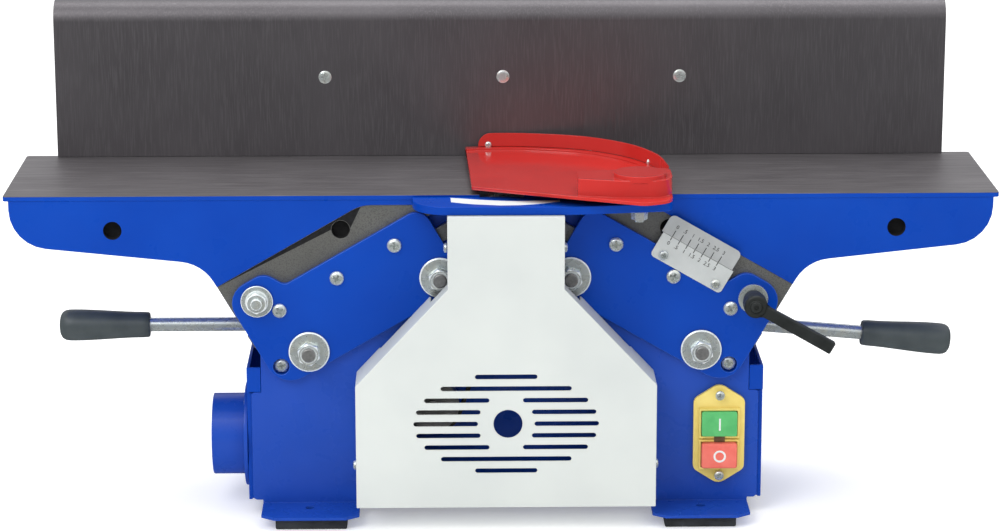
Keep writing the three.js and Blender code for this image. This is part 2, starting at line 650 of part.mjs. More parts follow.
function fenceBracket() {
  const rear = TABLE_DEPTH - BODY_FRONT + GAP;
  const half = HINGE.arms[0] - 0.4;
  const lug = [[176, 284], [192, 284], ...arcAroundHinge(HINGE.radius, -20, 190, 10)];
  const plate = [[182, 284], aroundHinge(51, -62), ...arcAroundHinge(51, -60, 12), aroundHinge(14, 12),
    aroundHinge(14, -50)];
  const slotBand = [...arcAroundHinge(QUADRANT.radius + 3.4, QUADRANT.from, QUADRANT.to),
    ...arcAroundHinge(QUADRANT.radius - 3.4, QUADRANT.to, QUADRANT.from)];
  return cut(
    join(
      block(-half, half, rear, rear + 6, 180, 292),
      crosswise(lug, -half, -20),
      crosswise(lug, 20, half),
      block(20, QUADRANT.outer, 182, 190, 284, 294),
      crosswise(plate, QUADRANT.inner, QUADRANT.outer),
    ),
    crosswise(circle(FENCE_HINGE.y, FENCE_HINGE.z, HINGE.pin + GAP, 20), -60, 36.4),
    crosswise(slotBand, QUADRANT.inner - 1, QUADRANT.outer + 1),
  );
}

function tiltKnob() {
  const [y, z] = aroundHinge(QUADRANT.radius, 0);
  const profile = [[0, 31], [3, 31], [3, 41], [8, 41], [8, 44], [13, 46], [13, 56], [10, 59], [0, 59]];
  return turnedX(profile, y, z, 24);
}

// The machine
add("front_panel", "blue", bodyPanel("front"));
add("rear_panel", "blue", bodyPanel("rear"));
for (const end of ["front", "rear"]) {
  add(`${end}_bearing`, "steel", bearingHousing(end));
  for (const [name, side] of Object.entries(SIDES)) {
    add(`${name}_${end}_foot`, "rubber", foot(side, end));
    add(`${name}_${end}_plate`, "blue", sidePlate(side, end));
    add(`${name}_${end}_gib`, "steel", gibBar(side, end));
  }
}
for (const [name, side] of Object.entries(SIDES)) {
  add(`${name}_end_panel`, "blue", endPanel(side));
  add(`${name}_table`, "iron", table(side));
  add(`${name}_lock_stud`, "zinc", lockStud(side));
  add(`${name}_lower_bolt`, "zinc", plateBolt(side, BOLTS_ALONG[0]));
  add(`${name}_upper_bolt`, "zinc", plateBolt(side, BOLTS_ALONG[1]));
}
const levers = { outfeed: lever(-1, 207.8, 0), infeed: lever(1, 213.7, THREE.MathUtils.degToRad(5)) };
for (const [name, { hand, grip }] of Object.entries(levers)) {
  add(`${name}_lever`, "zinc", hand);
  add(`${name}_grip`, "plastic", grip);
}
add("clamp_lever", "plastic", clampLever());
add("belt_cover", "cover", beltCover());
add("drive_belt", "rubber", cut(upright(bandOutline(3.3), -31, -19), upright(bandOutline(GAP), -32, -18)));
add("cutter_pulley", "steel", pulley(PULLEY.cutter, 8.3, 0, CUTTER_HEIGHT));
add("motor_pulley", "steel", pulley(PULLEY.motor, 6.3, MOTOR.x, MOTOR.z));
add("motor_shaft", "steel", turnedY(rod(6, -39, 59), MOTOR.x, MOTOR.z, 20));
add("motor", "plastic", motorBody());
add("cutter_block", "steel", cutterBlock());
for (let i = 0; i < KNIVES; i++) {
  const blade = spoke(knifeAngle(i), 16.3, CUTTING_RADIUS, 1.5);
  add(`knife_${i + 1}`, "steel", upright(blade, BLOCK.from, BLOCK.to));
}
add("chip_chute", "blue", chipChute());
add("dust_port", "blue", dustPort());
add("switch_front", "yellow", switchFront());
add("start_button", "green", button("start", -8.5));
add("stop_button", "stop", button("stop", -11.5));
add("fixed_scale", "scale", scalePlate(140, 213.4, 17.3, SCALE_SPLIT, 4, 0));
add("moving_scale", "scale", movingScale());
add("guard_shelf", "blue", guardShelf());
add("guard_plate", "red", guardPlate());
add("guard_wing", "red", guardWing());
add("guard_pivot", "zinc", guardPivot());
add("fence_panel", "fence", fencePanel());
add("fence_brace", "blue", fenceBrace());
add("fence_bracket", "blue", fenceBracket());
add("fence_hinge_pin", "zinc", crosswise(circle(FENCE_HINGE.y, FENCE_HINGE.z, HINGE.pin, 20), -38, 36.1));
add("tilt_knob", "plastic", tiltKnob());

// The origin goes to the middle of the floor area.
const middle = new THREE.Box3().setFromObject(machine, true).getCenter(new THREE.Vector3());
machine.position.set(-middle.x, -middle.y, 0);

export default machine;
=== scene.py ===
import math

import bpy
from mathutils import Matrix, Vector


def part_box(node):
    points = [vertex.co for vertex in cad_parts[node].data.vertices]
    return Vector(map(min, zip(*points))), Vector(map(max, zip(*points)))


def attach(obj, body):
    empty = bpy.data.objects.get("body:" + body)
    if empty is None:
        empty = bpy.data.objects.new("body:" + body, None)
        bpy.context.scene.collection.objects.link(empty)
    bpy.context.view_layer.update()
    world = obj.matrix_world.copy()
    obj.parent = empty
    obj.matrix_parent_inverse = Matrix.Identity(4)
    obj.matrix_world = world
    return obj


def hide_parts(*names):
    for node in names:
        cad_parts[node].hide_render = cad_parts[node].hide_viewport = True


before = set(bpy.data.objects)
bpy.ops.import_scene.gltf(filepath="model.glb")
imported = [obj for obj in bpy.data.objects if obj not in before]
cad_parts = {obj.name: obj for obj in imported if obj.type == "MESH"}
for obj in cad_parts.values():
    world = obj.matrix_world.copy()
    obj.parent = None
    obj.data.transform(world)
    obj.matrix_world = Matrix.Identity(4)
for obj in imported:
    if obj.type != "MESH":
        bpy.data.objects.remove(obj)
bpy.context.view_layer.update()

# Setting out
# The machine is set out in millimetres from the body's centre line, the tables' front edge and the
# floor. Both tables and their side plates follow ramps that fall away at 30 degrees from the middle.
MM = 0.001
SLOPE = math.radians(30)
centre_x = sum(corner.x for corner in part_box("front_panel")) / 2
front_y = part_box("outfeed_table")[0].y
table_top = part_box("outfeed_table")[1].z / MM
TABLE_DEPTH = 175
SIDES = {"outfeed": -1, "infeed": 1}


def at(x, y, z):
    """A place on the machine, in metres."""
    return Vector((centre_x + x * MM, front_y + y * MM, z * MM))


def on_ramp(side, along, height):
    """X and Z of a point that far down a ramp and that high above it."""
    x = side * (along * math.cos(SLOPE) + height * math.sin(SLOPE))
    return x, table_top - along * math.sin(SLOPE) + height * math.cos(SLOPE)


# Camera
# A long lens on a stand 2.8 m in front of the tables, tipped down by 14 degrees and turned by less
# than one degree to the right.
YAW, PITCH, ROLL = -0.0164693, 0.2459559, 0.0011498
camera = bpy.data.objects.new("camera", bpy.data.cameras.new("camera"))
bpy.context.scene.collection.objects.link(camera)
camera.data.sensor_width = 36
camera.data.lens = 115.06
camera.data.clip_end = 50
aim = (
    Matrix.Rotation(YAW, 4, "Z")
    @ Matrix.Rotation(-PITCH, 4, "X")
    @ Matrix.Rotation(ROLL, 4, "Y")
    @ Matrix.Rotation(math.pi / 2, 4, "X")
)
camera.matrix_world = Matrix.Translation(at(-50.65, -2792, 937.4)) @ aim
bpy.context.scene.camera = camera


# Floor
# Pale studio paper, faintly mottled, that runs on past the view in every direction. It glows a
# little, as paper does under a strong lamp, and is left out of reflections.
def deselect():
    bpy.ops.object.select_all(action="DESELECT")


def finish(name, roughness, metallic=0.0, coat=0.0, specular=0.5):
    """A material whose steady values are set on the shader itself."""
    material = bpy.data.materials.new(name)
    material.use_nodes = True
    shader = material.node_tree.nodes["Principled BSDF"]
    shader.inputs["Roughness"].default_value = roughness
    shader.inputs["Metallic"].default_value = metallic
    shader.inputs["Coat Weight"].default_value = coat
    shader.inputs["Coat Roughness"].default_value = 0.15
    shader.inputs["Specular IOR Level"].default_value = specular
    return material


def pattern(material, size, stretch=(1, 1, 1), detail=3.0):
    """Noise with patches of about that many millimetres, drawn out by a factor along each axis."""
    nodes, links = material.node_tree.nodes, material.node_tree.links
    place = nodes.new("ShaderNodeTexCoord")
    mapping = nodes.new("ShaderNodeMapping")
    mapping.inputs["Scale"].default_value = [1 / factor for factor in stretch]
    noise = nodes.new("ShaderNodeTexNoise")
    noise.inputs["Scale"].default_value = 1 / (size * MM)
    noise.inputs["Detail"].default_value = detail
    links.new(place.outputs["Object"], mapping.inputs["Vector"])
    links.new(mapping.outputs["Vector"], noise.inputs["Vector"])
    return noise.outputs["Fac"]


def coloured(material, factor, dark, light, spread=0.2):
    """The base colour runs from dark to light with the pattern."""
    nodes, links = material.node_tree.nodes, material.node_tree.links
    ramp = nodes.new("ShaderNodeValToRGB")
    ramp.color_ramp.elements[0].position = 0.5 - spread
    ramp.color_ramp.elements[0].color = (*dark, 1)
    ramp.color_ramp.elements[1].position = 0.5 + spread
    ramp.color_ramp.elements[1].color = (*light, 1)
    links.new(factor, ramp.inputs["Fac"])
    links.new(ramp.outputs["Color"], nodes["Principled BSDF"].inputs["Base Color"])
    return ramp.outputs["Color"]


def raised(material, factor, height, strength=0.5):
    """The pattern lifts the surface by up to that many millimetres."""
    nodes, links = material.node_tree.nodes, material.node_tree.links
    bump = nodes.new("ShaderNodeBump")
    bump.inputs["Strength"].default_value = strength
    bump.inputs["Distance"].default_value = height * MM
    normal = nodes["Principled BSDF"].inputs["Normal"]
    if normal.is_linked:
        links.new(normal.links[0].from_socket, bump.inputs["Normal"])
    links.new(factor, bump.inputs["Height"])
    links.new(bump.outputs["Normal"], normal)


floor_paper = finish("floor_paper", 0.9, specular=0.1)
coloured(floor_paper, pattern(floor_paper, 400), (0.9, 0.9, 0.89), (0.94, 0.94, 0.93))
glow = floor_paper.node_tree.nodes["Principled BSDF"].inputs
glow["Emission Color"].default_value = (1, 1, 1, 1)
glow["Emission Strength"].default_value = 0.3
raised(floor_paper, pattern(floor_paper, 2), 0.05)
deselect()
bpy.ops.mesh.primitive_plane_add(size=60)
floor = bpy.context.object
floor.name = "floor"
floor.data.materials.append(floor_paper)
floor.visible_glossy = False


# Light
# A white ceiling that fades to a dark horizon, so upright faces keep their depth of colour. One wide
# panel stands high in front on the left, and one hangs overhead for the tops.
def light_panel(name, place, target, size, power):
    light = bpy.data.objects.new(name, bpy.data.lights.new(name, "AREA"))
    bpy.context.scene.collection.objects.link(light)
    light.data.shape = "RECTANGLE"
    light.data.size, light.data.size_y = size
    light.data.energy = power
    towards = (Vector(target) - Vector(place)).to_track_quat("-Z", "Y")
    light.matrix_world = Matrix.Translation(place) @ towards.to_matrix().to_4x4()


world = bpy.data.worlds.new("white_ceiling")
world.use_nodes = True
world_nodes, world_links = world.node_tree.nodes, world.node_tree.links
heading = world_nodes.new("ShaderNodeTexCoord")
parts_of_heading = world_nodes.new("ShaderNodeSeparateXYZ")
brightness = world_nodes.new("ShaderNodeMapRange")
brightness.inputs["From Min"].default_value = 0.02
brightness.inputs["From Max"].default_value = 0.6
brightness.inputs["To Min"].default_value = 0.14
brightness.inputs["To Max"].default_value = 1.05
world_links.new(heading.outputs["Generated"], parts_of_heading.inputs["Vector"])
world_links.new(parts_of_heading.outputs["Z"], brightness.inputs["Value"])
seen = world_nodes.new("ShaderNodeLightPath")
shown = world_nodes.new("ShaderNodeMath")
shown.operation = "MAXIMUM"
world_links.new(brightness.outputs["Result"], shown.inputs[0])
world_links.new(seen.outputs["Is Camera Ray"], shown.inputs[1])
world_nodes["Background"].inputs["Color"].default_value = (0.97, 0.98, 1, 1)
world_links.new(shown.outputs["Value"], world_nodes["Background"].inputs["Strength"])
bpy.context.scene.world = world
bpy.context.scene.view_settings.view_transform = "Standard"
middle = (0, 0, 0.2)
light_panel("key_panel", (-1.6, -2.2, 2.6), middle, (1.8, 1.8), 42)
light_panel("top_panel", (0.2, 0.5, 3.0), middle, (2.6, 1.6), 38)


# Body panels
# Two sheets of 3 mm steel cut to the shape of the ramps, with foot flanges bent forward along the
# floor. They are powder coated blue and stand 165 mm apart.
def activate(piece):
    deselect()
    piece.select_set(True)
    bpy.context.view_layer.objects.active = piece


def applied(piece, kind, **settings):
    """Adds a modifier with these settings and applies it."""
    modifier = piece.modifiers.new(kind.lower(), kind)
    for name, value in settings.items():
        setattr(modifier, name, value)
    activate(piece)
    bpy.ops.object.modifier_apply(modifier=modifier.name)


def rounded(piece, width, segments=2, angle=35):
    """Rounds the edges sharper than the angle, that many millimetres wide, and smooths the shading."""
    applied(piece, "BEVEL", width=width * MM, segments=segments, limit_method="ANGLE",
            angle_limit=math.radians(angle), use_clamp_overlap=False)
    activate(piece)
    bpy.ops.object.shade_smooth_by_angle(angle=math.radians(angle))
    applied(piece, "WEIGHTED_NORMAL", keep_sharp=True, weight=80)


def copied(node, merged=True):
    """A copy of a CAD node's shape; its flat triangles are merged, unless it is too notched."""
    piece = bpy.data.objects.new(f"{node}_shape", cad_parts[node].data.copy())
    bpy.context.scene.collection.objects.link(piece)
    piece.data.materials.clear()
    activate(piece)
    bpy.ops.mesh.customdata_custom_splitnormals_clear()
    bpy.ops.object.mode_set(mode="EDIT")
    bpy.ops.mesh.select_all(action="SELECT")
    bpy.ops.mesh.remove_doubles(threshold=0.01 * MM)
    if merged:
        bpy.ops.mesh.dissolve_limited(angle_limit=math.radians(0.5))
    bpy.ops.object.mode_set(mode="OBJECT")
    return piece


def fitted(piece, material, slot, body, *nodes):
    """The piece gets its finish, moves with its body and stands for its CAD nodes, if any."""
    if material:
        piece.data.materials.clear()
        piece.data.materials.append(material)
    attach(piece, body)
    if nodes:
        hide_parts(*nodes)
    return piece


def dressed(node, body, slot, material, width=0.6, segments=2):
    """A CAD node's own shape with its edges rounded."""
    piece = copied(node)
    rounded(piece, width, segments)
    return fitted(piece, material, slot, body, node)


def roughened(material, factor, low, high):
    nodes, links = material.node_tree.nodes, material.node_tree.links
    reach = nodes.new("ShaderNodeMapRange")
    reach.inputs["From Min"].default_value = 0.3
    reach.inputs["From Max"].default_value = 0.7
    reach.inputs["To Min"].default_value = low
    reach.inputs["To Max"].default_value = high
    links.new(factor, reach.inputs["Value"])
    links.new(reach.outputs["Result"], nodes["Principled BSDF"].inputs["Roughness"])


def powder_coat(name, dark, light, gloss, specular=0.2):
    material = finish(name, gloss, coat=specular / 2, specular=specular)
    coloured(material, pattern(material, 90), dark, light)
    roughened(material, pattern(material, 25), gloss - 0.05, gloss + 0.07)
    raised(material, pattern(material, 1.4, detail=1), 0.012)
    return material


blue_paint = powder_coat("blue_powder_coat", (0.001, 0.047, 0.37), (0.002, 0.058, 0.42), 0.3, 0.1)
# The front panel and the dust port get a lighter copy of the blue with more gloss. Its lighter base
# colour is a painted sheen, standing in for the floor's reflection.
painted_sheen_blue = powder_coat("painted_sheen_blue_powder_coat", (0.008, 0.060, 0.40), (0.016, 0.074, 0.45), 0.28)
dressed("front_panel", "base", "blue_paint", painted_sheen_blue)
dressed("rear_panel", "base", "blue_paint", blue_paint)
for name, side in SIDES.items():
    dressed(f"{name}_end_panel", "base", "blue_paint", blue_paint)


# Rubber feet
# Moulded pads, 65 by 42 mm, with rounded edges, a raised rim all round the tread and a matt skin.
# One screw through the flange holds each.
def box_between(name, low, high):
    """A cube primitive that fills the box between two corners, left in edit mode."""
    deselect()
    bpy.ops.mesh.primitive_cube_add(size=1, enter_editmode=True)
    piece = bpy.context.object
    piece.name = name
    bpy.ops.transform.resize(value=high - low, center_override=(0, 0, 0))
    bpy.ops.transform.translate(value=(high + low) / 2)
    return piece


def pick(piece, test):
    """Selects the faces whose centre and normal pass the test, in edit mode."""
    bpy.ops.mesh.select_mode(type="FACE")
    bpy.ops.mesh.select_all(action="DESELECT")
    bpy.ops.object.mode_set(mode="OBJECT")
    for face in piece.data.polygons:
        face.select = test(face.center, face.normal)
    bpy.ops.object.mode_set(mode="EDIT")


rubber = finish("foot_rubber", 0.75, specular=0.3)
coloured(rubber, pattern(rubber, 12), (0.022, 0.024, 0.026), (0.045, 0.05, 0.055))
raised(rubber, pattern(rubber, 0.7), 0.05)
for name in SIDES:
    for end in ("front", "rear"):
        node = f"{name}_{end}_foot"
        foot = box_between(node + "_pad", *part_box(node))
        pick(foot, lambda centre, normal: normal.z < -0.9)
        bpy.ops.mesh.inset(thickness=5 * MM, depth=0)
        bpy.ops.mesh.inset(thickness=0.5 * MM, depth=-2 * MM)
        bpy.ops.object.mode_set(mode="OBJECT")
        rounded(foot, 1.8, 3)
        fitted(foot, rubber, "rubber", "base", node)


# Tables
# Grey iron castings, ground on top, painted blue below and machined where their webs run in the
# side plates. The ground tops carry fine lengthwise grinding lines.
def streaked(material, colour, factor, shade, spread=0.12):
    """The pattern lays a second shade over a colour that is already mixed."""
    nodes, links = material.node_tree.nodes, material.node_tree.links
    reach = nodes.new("ShaderNodeMapRange")
    reach.inputs["From Min"].default_value = 0.5
    reach.inputs["From Max"].default_value = 0.5 + spread
    mix = nodes.new("ShaderNodeMix")
    mix.data_type = "RGBA"
    mix.inputs["B"].default_value = (*shade, 1)
    links.new(factor, reach.inputs["Value"])
    links.new(reach.outputs["Result"], mix.inputs["Factor"])
    links.new(colour, mix.inputs["A"])
    links.new(mix.outputs["Result"], nodes["Principled BSDF"].inputs["Base Color"])
    return mix.outputs["Result"]


def ground_iron(name, dark, light, lines, stretch):
    material = finish(name, 0.42, metallic=0.6)
    base = coloured(material, pattern(material, 70), dark, light)
    grain = pattern(material, 0.9, stretch, 4)
    streaked(material, base, grain, lines)
    roughened(material, pattern(material, 1.2, stretch), 0.36, 0.52)
    raised(material, grain, 0.02, 0.35)
    return material


top_iron = ground_iron("ground_table_top", (0.13, 0.12, 0.126), (0.165, 0.153, 0.16),
                       (0.21, 0.198, 0.204), (60, 1, 1))
web_iron = ground_iron("machined_web", (0.20, 0.20, 0.185), (0.26, 0.26, 0.24),
                       (0.15, 0.15, 0.14), (1, 1, 1))
# Near-black painted shade for the inside of the blind bores in the table webs.
bore_painted_shade = finish("painted_shade_bore", 0.8)
coloured(bore_painted_shade, pattern(bore_painted_shade, 3), (0.004, 0.004, 0.005), (0.012, 0.012, 0.014))
STRIP_DEPTH = 1.8
HOLES, HOLE_Z, HOLE_RADIUS = (352.4, 147.8), 270, 8.4
for name, side in SIDES.items():
    node = f"{name}_table"
    table = copied(node)
    rounded(table, 0.5)
    fitted(table, None, "machined_iron", node, node)
    for material in (blue_paint, top_iron, web_iron, bore_painted_shade):
        table.data.materials.append(material)
    ramp_normal = Vector((side * math.sin(SLOPE), 0, math.cos(SLOPE)))
    for face in table.data.polygons:
        x, y, z = (face.center - at(0, 0, 0)) / MM
        edge = min(y, TABLE_DEPTH - y)
        near_hole = any(math.hypot(x - side * hole, z - HOLE_Z) < HOLE_RADIUS for hole in HOLES)
        on_strip = abs(edge - STRIP_DEPTH) < 0.3 and z < 298
        sliding = abs(face.normal.dot(ramp_normal)) > 0.98 and edge < 15
        if z > table_top - 0.6:
            face.material_index = 1
        # Faces inside a bore get the painted shade.
        elif near_hole and edge > 0.8:
            face.material_index = 3
        else:
            face.material_index = 2 if on_strip or sliding else 0


# Side plates
# Four 6 mm steel plates in the same blue, each bolted over its panel. A slot in the ear lets the
# table's lock stud travel, and a steel bar behind keeps the web on its ramp.
turned_steel = finish("turned_steel", 0.3, metallic=1)
coloured(turned_steel, pattern(turned_steel, 8), (0.50, 0.49, 0.47), (0.62, 0.61, 0.59))
roughened(turned_steel, pattern(turned_steel, 0.6), 0.22, 0.4)
raised(turned_steel, pattern(turned_steel, 0.5), 0.01)
# A paler blue, painted on the plates' front and rear chamfers as a highlight.
painted_edge_highlight_blue = powder_coat("painted_highlight_edge_blue", (0.025, 0.10, 0.50), (0.04, 0.13, 0.56), 0.25)


def edge_lit(piece, material):
    """The chamfers that face partly to the front or the rear get a paler material, a painted
    highlight.
    """
    piece.data.materials.append(material)
    for face in piece.data.polygons:
        face.material_index = 1 if 0.25 < abs(face.normal.y) < 0.93 else 0


for name in SIDES:
    for end in ("front", "rear"):
        plate = dressed(f"{name}_{end}_plate", "base", "blue_paint", blue_paint, 0.8, 3)
        edge_lit(plate, painted_edge_highlight_blue)
        dressed(f"{name}_{end}_gib", "base", "steel", turned_steel, 0.5)


# Plate bolts
# M12 bolts with 37 mm washers and hexagon nuts, zinc plated bright. Each goes through a side plate
# and the body panel, and ends just past its nut.
def turned(name, rings, vertices=48):
    """A turned piece along +Z: a circle extruded from ring to ring, each (radius, height) in mm."""
    deselect()
    radius, height = rings[0]
    bpy.ops.mesh.primitive_circle_add(
        vertices=vertices, radius=radius * MM, fill_type="NGON",
        location=(0, 0, height * MM), enter_editmode=True)
    piece = bpy.context.object
    piece.name = name
    bpy.ops.mesh.select_all(action="SELECT")
    for next_radius, next_height in rings[1:]:
        bpy.ops.mesh.extrude_region_move()
        bpy.ops.transform.translate(value=(0, 0, (next_height - height) * MM))
        factor = next_radius / radius
        bpy.ops.transform.resize(value=(factor, factor, 1), center_override=(0, 0, next_height * MM))
        radius, height = next_radius, next_height
    bpy.ops.mesh.select_all(action="SELECT")
    bpy.ops.mesh.normals_make_consistent(inside=False)
    bpy.ops.object.mode_set(mode="OBJECT")
    bpy.ops.object.transform_apply(location=True, rotation=False, scale=False)
    return piece


def smoothed(piece, angle=30):
    activate(piece)
    bpy.ops.object.shade_smooth_by_angle(angle=math.radians(angle))
    return piece


def joined(name, *pieces):
    deselect()
    for piece in pieces:
        piece.select_set(True)
    bpy.context.view_layer.objects.active = pieces[0]
    bpy.ops.object.join()
    pieces[0].name = name
    return pieces[0]


def cut_by(piece, tool, operation="DIFFERENCE"):
    """The tool is cut away from the piece, or the two are crossed, and the tool is used up."""
    applied(piece, "BOOLEAN", object=tool, operation=operation, solver="EXACT")
    bpy.data.objects.remove(tool)
    return piece


def hexagon(name, radius, height, start=0.0):
    """A hexagon prism whose corners are chamfered on a cone at the outer face."""
    body = turned(name, [(radius, start), (radius, start + height)], 6)
    cone = turned("cone", [
        (radius * 1.3, start - 1), (radius * 1.3, start + height * 0.4),
        (radius * 1.02, start + height * 0.82), (radius * 0.8, start + height + 0.2)])
    return cut_by(body, cone, "INTERSECT")


def facing(x, y, z, direction="-Y"):
    """The matrix that stands a piece made along +Z on a point of the machine, looking that way."""
    turns = {
        "-Y": Matrix.Rotation(math.pi / 2, 4, "X"),
        "+Y": Matrix.Rotation(-math.pi / 2, 4, "X"),
        "+X": Matrix.Rotation(math.pi / 2, 4, "Y"),
        "-X": Matrix.Rotation(-math.pi / 2, 4, "Y"),
    }
    return Matrix.Translation(at(x, y, z)) @ turns[direction]


def placed(piece, name, matrix, spin=0.0):
    """A copy of a modelled piece with its own mesh, turned about its axis by spin degrees."""
    copy = bpy.data.objects.new(name, piece.data.copy())
    bpy.context.scene.collection.objects.link(copy)
    copy.data.transform(matrix @ Matrix.Rotation(math.radians(spin), 4, "Z"))
    return copy


def thread(radius, start, end, pitch):
    """Rings that climb and fall by a thread's depth, with a chamfered point."""
    turns = int((end - start) / pitch)
    rings = [(radius * 0.88, start)]
    for turn in range(turns):
        low = start + turn * pitch
        rings += [(radius * 0.88, low + 0.12 * pitch), (radius, low + 0.42 * pitch),
                  (radius, low + 0.58 * pitch), (radius * 0.88, low + 0.9 * pitch)]
    return rings + [(radius, end - 1), (radius, end - 0.5), (radius * 0.88, end)]


zinc = finish("bright_zinc", 0.26, metallic=0.7)
zinc_tone = coloured(zinc, pattern(zinc, 12), (0.68, 0.74, 0.73), (0.78, 0.84, 0.82))
streaked(zinc, zinc_tone, pattern(zinc, 9, detail=1), (0.76, 0.78, 0.70), 0.3)
roughened(zinc, pattern(zinc, 6, detail=0), 0.24, 0.32)
raised(zinc, pattern(zinc, 4, detail=0), 0.006, 0.2)
# A paler zinc, painted on the nuts' and heads' slanted chamfers as a highlight.
painted_highlight_zinc = finish("painted_highlight_zinc_edge", 0.3, metallic=0.2)
coloured(painted_highlight_zinc, pattern(painted_highlight_zinc, 6), (0.80, 0.86, 0.87), (0.90, 0.94, 0.93))
roughened(painted_highlight_zinc, pattern(painted_highlight_zinc, 3), 0.26, 0.36)
dull_steel = finish("dull_stud_steel", 0.45, metallic=0.6)
coloured(dull_steel, pattern(dull_steel, 3), (0.20, 0.20, 0.20), (0.30, 0.30, 0.29))
raised(dull_steel, pattern(dull_steel, 0.6), 0.02)
BOLTS_ALONG = {"lower": 225.5, "upper": 88.5}
BOLT_HEIGHT = -35.75
PLATE_FACE = 4.8
washer_37 = turned("washer", [
    (6.6, 0), (17.6, 0), (18.5, 0.5), (18.5, 1.6), (17.3, 2.5), (6.6, 2.5)], 64)
nut_m12 = cut_by(hexagon("nut", 10.7, 10.8, 2.5),
                 turned("counterbore", [(5.9, 12), (7.2, 13.4), (7.4, 14)], 40))
rounded(nut_m12, 0.45, 1)
nut_seat = turned("nut_seat", [(9.6, 2.3), (9.6, 3.1), (9.2, 3.3)], 48)
stud_m12 = smoothed(turned("stud", thread(6, 10, 15.4, 1.75), 40))
m12_front = smoothed(joined("m12_front", washer_37, nut_m12, nut_seat))
rear_washer = turned("rear_washer", [(17.6, 0), (18.5, 0.5), (18.5, 2.1), (17.9, 2.5)], 64)
head_m12 = smoothed(joined("m12_rear", rear_washer, hexagon("head", 10.7, 7.5, 2.5)))
for name, side in SIDES.items():
    for level, along in BOLTS_ALONG.items():
        x, z = on_ramp(side, along, BOLT_HEIGHT)
        node = f"{name}_{level}_bolt"
        bolt = placed(m12_front, f"{node}_nut", facing(x, -PLATE_FACE, z), 12)
        fitted(bolt, zinc, "zinc", "base", node)
        edge_lit(bolt, painted_highlight_zinc)
        stud = placed(stud_m12, f"{node}_stud", facing(x, -PLATE_FACE, z))
        fitted(stud, dull_steel, "zinc", "base")
        behind = facing(x, TABLE_DEPTH + PLATE_FACE, z, "+Y")
        head = placed(head_m12, f"{node}_head", behind, 20)
        fitted(head, zinc, "zinc", "base")
        edge_lit(head, painted_highlight_zinc)
for master in (m12_front, stud_m12, head_m12):
    bpy.data.objects.remove(master)


# Cross-head screws
# Zinc plated pan heads, 13 mm across, with a cross recess. Three hold each side plate's bar, and one
# shows through the round hole low in each plate.
def pan_head(name, radius, height):
    """A domed head with a cross recess, made along +Z."""
    head = turned(name, [
        (radius, -0.2), (radius, height * 0.3), (radius * 0.95, height * 0.55),
        (radius * 0.82, height * 0.78), (radius * 0.6, height * 0.94), (radius * 0.3, height)], 40)
    for turn in (0, 90):
        arm = box_between("arm", Vector((-radius * 0.6, -radius * 0.15, height * 0.2)) * MM,
                          Vector((radius * 0.6, radius * 0.15, height * 1.2)) * MM)
        bpy.ops.transform.rotate(value=math.radians(turn), orient_axis="Z", center_override=(0, 0, 0))
        bpy.ops.object.mode_set(mode="OBJECT")
        cut_by(head, arm)
    return smoothed(head)


pan_13 = pan_head("pan_head", 6.5, 3.6)
SCREWS_ALONG = (229, 169, 109)
SCREW_HEIGHT = 10.5
SEAT, PANEL_FACE = 4.5, 1.8
PANEL_SCREW = (254.8, -35.5)
for name, side in SIDES.items():
    for end, y, direction in (("front", -SEAT, "-Y"), ("rear", TABLE_DEPTH + SEAT, "+Y")):
        for number, along in enumerate(SCREWS_ALONG, 1):
            x, z = on_ramp(side, along, SCREW_HEIGHT)
            stand = facing(x, y, z, direction)
            screw = placed(pan_13, f"{name}_{end}_bar_screw_{number}", stand, 31 * number)
            fitted(screw, zinc, "zinc", "base")
        x, z = on_ramp(side, *PANEL_SCREW)
        y = PANEL_FACE if end == "front" else TABLE_DEPTH - PANEL_FACE
        screw = placed(pan_13, f"{name}_{end}_panel_screw", facing(x, y, z, direction), 20)
        fitted(screw, zinc, "zinc", "base")


# Table locks
# A stud in each table comes out through its side plate's slot. The outfeed one carries a washer and
# a nut, and the infeed one the washer that the clamp lever presses on.
LOCK_STUD = (242, 28.4)
stud_x, stud_z = on_ramp(-1, *LOCK_STUD)
lock_washer = turned("lock_washer", [
    (5.4, 0), (13.8, 0), (14.5, 0.5), (14.5, 2.1), (13.9, 2.5), (5.4, 2.5)], 56)
lock = joined("outfeed_lock",
              lock_washer,
              turned("lock_seat", [(10.4, 2.3), (10.4, 3.4), (9, 4)], 40),
              hexagon("lock_nut", 9.8, 8, 2.5),
              turned("lock_stud", thread(5, 9, 14.2, 1.5), 36))
lock.data.transform(facing(stud_x, -PLATE_FACE, stud_z))
fitted(smoothed(lock), zinc, "zinc", "outfeed_table", "outfeed_lock_stud")
edge_lit(lock, painted_highlight_zinc)
dressed("infeed_lock_stud", "infeed_table", "zinc", zinc, 0.4)


# Clamp lever
# A moulded black handle on a threaded bush, held by a socket screw with a raised collar. Its arm
# leaves the hub at a slant and ends bluntly.
black_plastic = finish("black_grained_plastic", 0.5, specular=0.4)
coloured(black_plastic, pattern(black_plastic, 15), (0.012, 0.015, 0.014), (0.024, 0.028, 0.027))
roughened(black_plastic, pattern(black_plastic, 4), 0.42, 0.6)
raised(black_plastic, pattern(black_plastic, 0.6), 0.03)
clamp = copied("clamp_lever")
rounded(clamp, 1.2, 3)
fitted(clamp, black_plastic, "black_plastic", "clamp_lever", "clamp_lever")
stud_x, stud_z = on_ramp(1, *LOCK_STUD)


def front_of(node):
    """How far behind the tables' front edge a node's front face lies."""
    return (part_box(node)[0].y - front_y) / MM


screw_head = cut_by(turned("screw_head", [(5, -0.5), (5, 1.4), (4.5, 1.9)], 40),
                    turned("hexagon", [(2.4, 0.4), (2.4, 3)], 6))
screw_collar = turned("screw_collar", [(6.2, -0.5), (6.2, 0.5), (5.6, 0.9), (5.2, 0.5)], 40)
socket_screw = smoothed(joined("clamp_screw", screw_collar, screw_head))
socket_screw.data.transform(facing(stud_x, front_of("clamp_lever"), stud_z))
fitted(socket_screw, black_plastic, "black_plastic", "clamp_lever")


